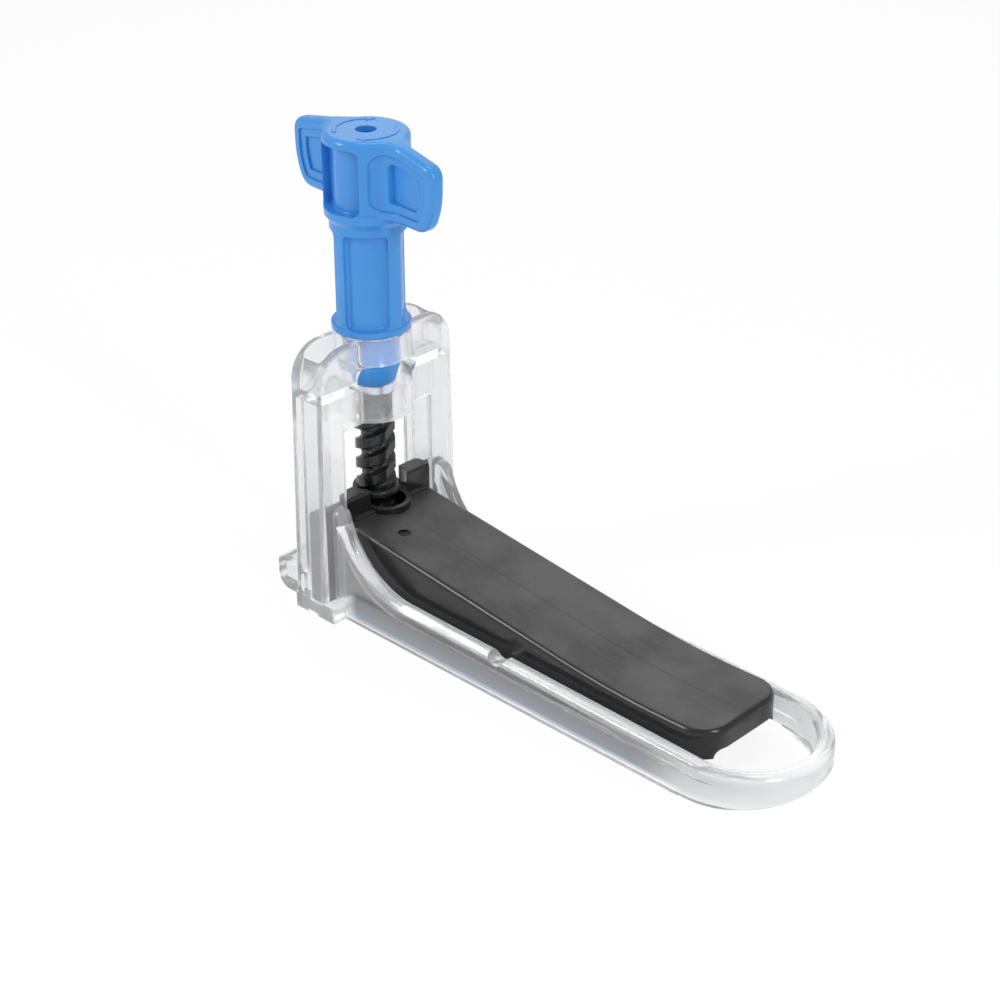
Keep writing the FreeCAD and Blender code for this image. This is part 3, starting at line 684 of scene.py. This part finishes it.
def soften(shown: bpy.types.Object, width: float, segments: int, sharp_deg: float = 40.0) -> None:
    """Round an object's sharp edges.

    Args:
        shown: The object.
        width: The rounding's width.
        segments: How many faces the rounding has.
        sharp_deg: The smallest angle between two faces whose edge is rounded.
    """
    bevel = shown.modifiers.new("rounded_edges", "BEVEL")
    bevel.width = width
    bevel.segments = segments
    bevel.limit_method = "ANGLE"
    bevel.angle_limit = math.radians(sharp_deg)
    bevel.harden_normals = True


@dataclass
class KnobMarks:
    """Two raised clockwise arrows on the knob's top."""

    material: bpy.types.Material
    radius: float = 7.9 * MM
    stroke: float = 1.05 * MM
    rise: float = 0.22 * MM
    sink: float = 0.15 * MM
    tail_deg: float = 62.0
    neck_deg: float = -44.0
    tip_deg: float = -61.0
    head_half: float = 1.45 * MM
    barb_deg: float = 1.5
    edge_width: float = 0.12 * MM
    edge_segments: int = 2
    arrows: int = 2
    steps: int = 40
    pieces: list[bpy.types.Object] = field(default_factory=list)

    def outline(self, start_deg: float) -> list[Vector]:
        """Trace one arrow, seen from above.

        Args:
            start_deg: How far the arrow is turned about the screw's axis.

        Returns:
            The outline's points at height 0.
        """
        def at(radius: float, degrees: float) -> Vector:
            """Point at a radius and an angle."""
            angle = math.radians(degrees + start_deg)
            return Vector((radius * math.cos(angle), radius * math.sin(angle), 0.0))

        span = self.neck_deg - self.tail_deg
        sweep = [self.tail_deg + span * step / self.steps for step in range(self.steps + 1)]
        outer = [at(self.radius + self.stroke / 2, degrees) for degrees in sweep]
        inner = [at(self.radius - self.stroke / 2, degrees) for degrees in reversed(sweep)]
        barbs = self.neck_deg + self.barb_deg
        head = [
            at(self.radius + self.head_half, barbs),
            at(self.radius, self.tip_deg),
            at(self.radius - self.head_half, barbs),
        ]
        return outer + head + inner

    def build(self) -> None:
        """Raise both arrows on the knob's top face."""
        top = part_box(Part.KNOB.value)[1][2]
        for number in range(self.arrows):
            mesh = bmesh.new()
            points = self.outline(number * 360 / self.arrows)
            ring = [mesh.verts.new(point + Vector((0, 0, top - self.sink))) for point in points]
            face = mesh.faces.new(ring)
            raised = bmesh.ops.extrude_face_region(mesh, geom=[face])
            moved = [item for item in raised["geom"] if isinstance(item, bmesh.types.BMVert)]
            bmesh.ops.translate(mesh, verts=moved, vec=(0, 0, self.sink + self.rise))
            bmesh.ops.triangulate(mesh, faces=[f for f in mesh.faces if len(f.verts) > 4])
            arrow = mesh_object(f"knob_arrow_{number + 1}", mesh, self.material)
            soften(arrow, self.edge_width, self.edge_segments)
            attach(arrow, Body.KNOB.value)
            self.pieces.append(arrow)


@dataclass
class PlateMarks:
    """The moulding-gate mark in the plate's top: a ring with a nub in it."""

    material: bpy.types.Material
    centre_x: float = 17.3 * MM
    centre_y: float = -6.5 * MM
    slope_deg: float = 6.6
    ring_radius: float = 1.0 * MM
    ring_tube: float = 0.22 * MM
    nub_radius: float = 0.5 * MM
    nub_flatness: float = 0.6
    nub_rings: int = 10
    steps: int = 32
    tube_steps: int = 8
    look_from: float = 150.0 * MM
    pieces: list[bpy.types.Object] = field(default_factory=list)

    def build(self) -> None:
        """Set the ring and the nub on the bottom of the round mark."""
        floor = self.mark_floor()
        mesh = bmesh.new()
        bmesh.ops.create_uvsphere(
            mesh, u_segments=self.steps, v_segments=self.nub_rings, radius=self.nub_radius
        )
        bmesh.ops.scale(mesh, vec=(1, 1, self.nub_flatness), verts=mesh.verts)
        circles = []
        for step in range(self.steps):
            angle = 2 * math.pi * step / self.steps
            out = Vector((math.cos(angle), math.sin(angle), 0))
            circle = []
            for turn in range(self.tube_steps):
                around = 2 * math.pi * turn / self.tube_steps
                reach = self.ring_radius + self.ring_tube * math.cos(around)
                height = self.ring_tube * math.sin(around)
                circle.append(mesh.verts.new(out * reach + Vector((0, 0, height))))
            circles.append(circle)
        for step, circle in enumerate(circles):
            following = circles[(step + 1) % self.steps]
            for turn in range(self.tube_steps):
                after = (turn + 1) % self.tube_steps
                mesh.faces.new((circle[turn], following[turn], following[after], circle[after]))
        seat = Matrix.Translation((self.centre_x, self.centre_y, floor))
        tilt = Matrix.Rotation(math.radians(self.slope_deg), 4, "Y")
        bmesh.ops.transform(mesh, matrix=seat @ tilt, verts=mesh.verts)
        mark = mesh_object("plate_gate_mark", mesh, self.material)
        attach(mark, Body.CARRIAGE.value)
        self.pieces.append(mark)

    def mark_floor(self) -> float:
        """Find the bottom of the round mark in the plate's top.

        Returns:
            Its height.
        """
        above = Vector((self.centre_x, self.centre_y, self.look_from))
        found, spot, *_ = bpy.context.scene.ray_cast(
            bpy.context.view_layer.depsgraph, above, Vector((0, 0, -1))
        )
        return spot.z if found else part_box(Part.PLATE.value)[1][2]


@dataclass(frozen=True)
class Softbox:
    """One softbox: its name, where it hangs, its width and height, and its power in watts."""

    name: str
    place: tuple[float, float, float]
    size: tuple[float, float]
    watts: float


@dataclass
class Studio:
    """White floor, soft lamps and the camera at the photograph's angle."""

    white: str = "FFFFFF"
    paper_colour: str = "FAFAFA"
    floor_half: float = 4.0
    floor_drop: float = 0.15 * MM
    floor_strength: float = 1.02
    floor_glow: float = 0.38
    floor_glow_seen: float = 0.86
    fill: float = 0.52
    mirrored: float = 0.6
    seen_strength: float = 1.0
    softboxes: tuple[Softbox, ...] = (
        Softbox("softbox_left", (-0.30, -0.50, 0.45), (0.14, 0.22), 1.2),
        Softbox("softbox_right", (0.60, -0.10, 0.40), (0.12, 0.22), 1.0),
        Softbox("softbox_top", (0.0, 0.1, 0.75), (0.4, 0.2), 0.9),
        Softbox("softbox_back", (-0.29, 0.48, 0.47), (0.50, 0.50), 0.42),
    )
    softbox_aim: tuple[float, float, float] = (0.04, 0.0, 0.04)
    focal_px: float = 2194.0
    frame_px: float = 1000.0
    azimuth_deg: float = 43.848
    pitch_deg: float = 28.406
    depth: float = 600.0 * MM
    origin_px: tuple[float, float] = (379.335, 577.909)
    sensor_mm: float = 36.0
    nearest: float = 0.01
    farthest: float = 50.0

    def camera(self) -> None:
        """Place the camera so that the screw's foot falls where the photograph has it."""
        turn = math.radians(self.azimuth_deg)
        pitch = math.radians(self.pitch_deg)
        right = Vector((math.cos(turn), math.sin(turn), 0))
        ahead_flat = Vector((-math.sin(turn), math.cos(turn), 0))
        ahead = ahead_flat * math.cos(pitch) - Vector((0, 0, math.sin(pitch)))
        up = right.cross(ahead)
        across = (self.origin_px[0] - self.frame_px / 2) / self.focal_px
        below = (self.origin_px[1] - self.frame_px / 2) / self.focal_px
        stand = -(right * across - up * below + ahead) * self.depth
        data = bpy.data.cameras.new("view")
        data.sensor_width = self.sensor_mm
        data.lens = self.sensor_mm * self.focal_px / self.frame_px
        data.clip_start = self.nearest
        data.clip_end = self.farthest
        camera = bpy.data.objects.new("view", data)
        camera.matrix_world = Matrix((
            (right.x, up.x, -ahead.x, stand.x),
            (right.y, up.y, -ahead.y, stand.y),
            (right.z, up.z, -ahead.z, stand.z),
            (0.0, 0.0, 0.0, 1.0),
        ))
        bpy.context.scene.collection.objects.link(camera)
        bpy.context.scene.camera = camera

    def floor(self) -> None:
        """Lay a white floor that keeps a faint shadow and shows white in what mirrors or bends light."""
        material = bpy.data.materials.new("white_studio_floor")
        material.use_nodes = True
        tree = material.node_tree
        tree.nodes.clear()
        paper = add_node(tree, "ShaderNodeBsdfDiffuse", {"Color": linear(self.paper_colour)})
        glow = add_node(
            tree, "ShaderNodeEmission", {"Color": linear(self.white), "Strength": self.floor_strength}
        )
        light_path = add_node(tree, "ShaderNodeLightPath")
        # The camera sees almost pure white. The clear walls show the floor as it is, dim under the plate.
        share = add_node(
            tree, "ShaderNodeMapRange", {"To Min": self.floor_glow, "To Max": self.floor_glow_seen},
            {"Value": light_path.outputs["Is Camera Ray"]},
        )
        mixed = add_node(
            tree, "ShaderNodeMixShader", {},
            {0: share.outputs["Result"], 1: paper.outputs["BSDF"], 2: glow.outputs["Emission"]},
        )
        add_node(tree, "ShaderNodeOutputMaterial", {}, {"Surface": mixed.outputs["Shader"]})
        mesh = bmesh.new()
        bmesh.ops.create_grid(mesh, x_segments=1, y_segments=1, size=self.floor_half)
        bmesh.ops.translate(mesh, verts=mesh.verts, vec=(0, 0, -self.floor_drop))
        floor = mesh_object("studio_floor", mesh, material)

    def world(self) -> None:
        """Fill the studio with soft light: white where it is seen or bent, grey where it is mirrored."""
        world = bpy.data.worlds.new("studio_surround")
        bpy.context.scene.world = world
        world.use_nodes = True
        tree = world.node_tree
        tree.nodes.clear()
        light_path = add_node(tree, "ShaderNodeLightPath")
        seen = add_node(
            tree, "ShaderNodeMath", {"operation": "MAXIMUM"},
            {0: light_path.outputs["Is Camera Ray"], 1: light_path.outputs["Is Transmission Ray"]},
        )
        dimmed = add_node(
            tree, "ShaderNodeMapRange", {"To Min": self.fill, "To Max": self.mirrored},
            {"Value": light_path.outputs["Is Glossy Ray"]},
        )
        strength = add_node(
            tree, "ShaderNodeMapRange", {"To Max": self.seen_strength},
            {"Value": seen.outputs["Value"], "To Min": dimmed.outputs["Result"]},
        )
        surround = add_node(
            tree, "ShaderNodeBackground", {"Color": linear(self.white)},
            {"Strength": strength.outputs["Result"]},
        )
        add_node(tree, "ShaderNodeOutputWorld", {}, {"Surface": surround.outputs["Background"]})

    def hang(self, softbox: Softbox) -> None:
        """Hang one softbox that faces the instrument.

        Args:
            softbox: The softbox.
        """
        data = bpy.data.lights.new(softbox.name, "AREA")
        data.shape = "RECTANGLE"
        data.size, data.size_y = softbox.size
        data.energy = softbox.watts
        lamp = bpy.data.objects.new(softbox.name, data)
        lamp.location = softbox.place
        aim = Vector(self.softbox_aim) - Vector(softbox.place)
        lamp.rotation_euler = aim.to_track_quat("-Z", "Y").to_euler()
        bpy.context.scene.collection.objects.link(lamp)

    def build(self) -> None:
        """Set up camera, floor, surround and lamps."""
        bpy.context.scene.view_settings.view_transform = "Standard"
        self.camera()
        self.floor()
        self.world()
        for softbox in self.softboxes:
            self.hang(softbox)


@dataclass
class Retractor:
    """The whole instrument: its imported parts, their plastics and the fine mouldings."""

    nodes: Mapping[str, bpy.types.Object]

    def build(self) -> None:
        """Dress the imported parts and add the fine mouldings."""
        blue = BluePolypropylene().material()
        satin = SatinBlackPlastic().material()
        self.dress(Part.FRAME, ClearPolycarbonate().material())
        self.dress(Part.KNOB, blue)
        self.dress(Part.SCREW, BlackNylon().material())
        self.dress(Part.PLATE, satin)
        for marks in (KnobMarks(blue), PlateMarks(satin)):
            marks.build()
            for piece in marks.pieces:
                LOG.info("piece %s: %d faces", piece.name, len(piece.data.polygons))

    def dress(self, part: Part, material: bpy.types.Material) -> None:
        """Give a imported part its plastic.

        Args:
            part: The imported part.
            material: Its finish.
        """
        shown = self.nodes[part.value]
        for slot in shown.material_slots:
            slot.material = material
        LOG.info("part %s: %s, %d faces", part.value, material.name, len(shown.data.polygons))


def main() -> None:
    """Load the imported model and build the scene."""
    logging.basicConfig(level=logging.INFO, format="%(name)s: %(message)s")
    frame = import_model()
    Studio().build()
    Retractor(frame["nodes"]).build()
    bpy.context.view_layer.update()


if __name__ == "__main__":
    main()
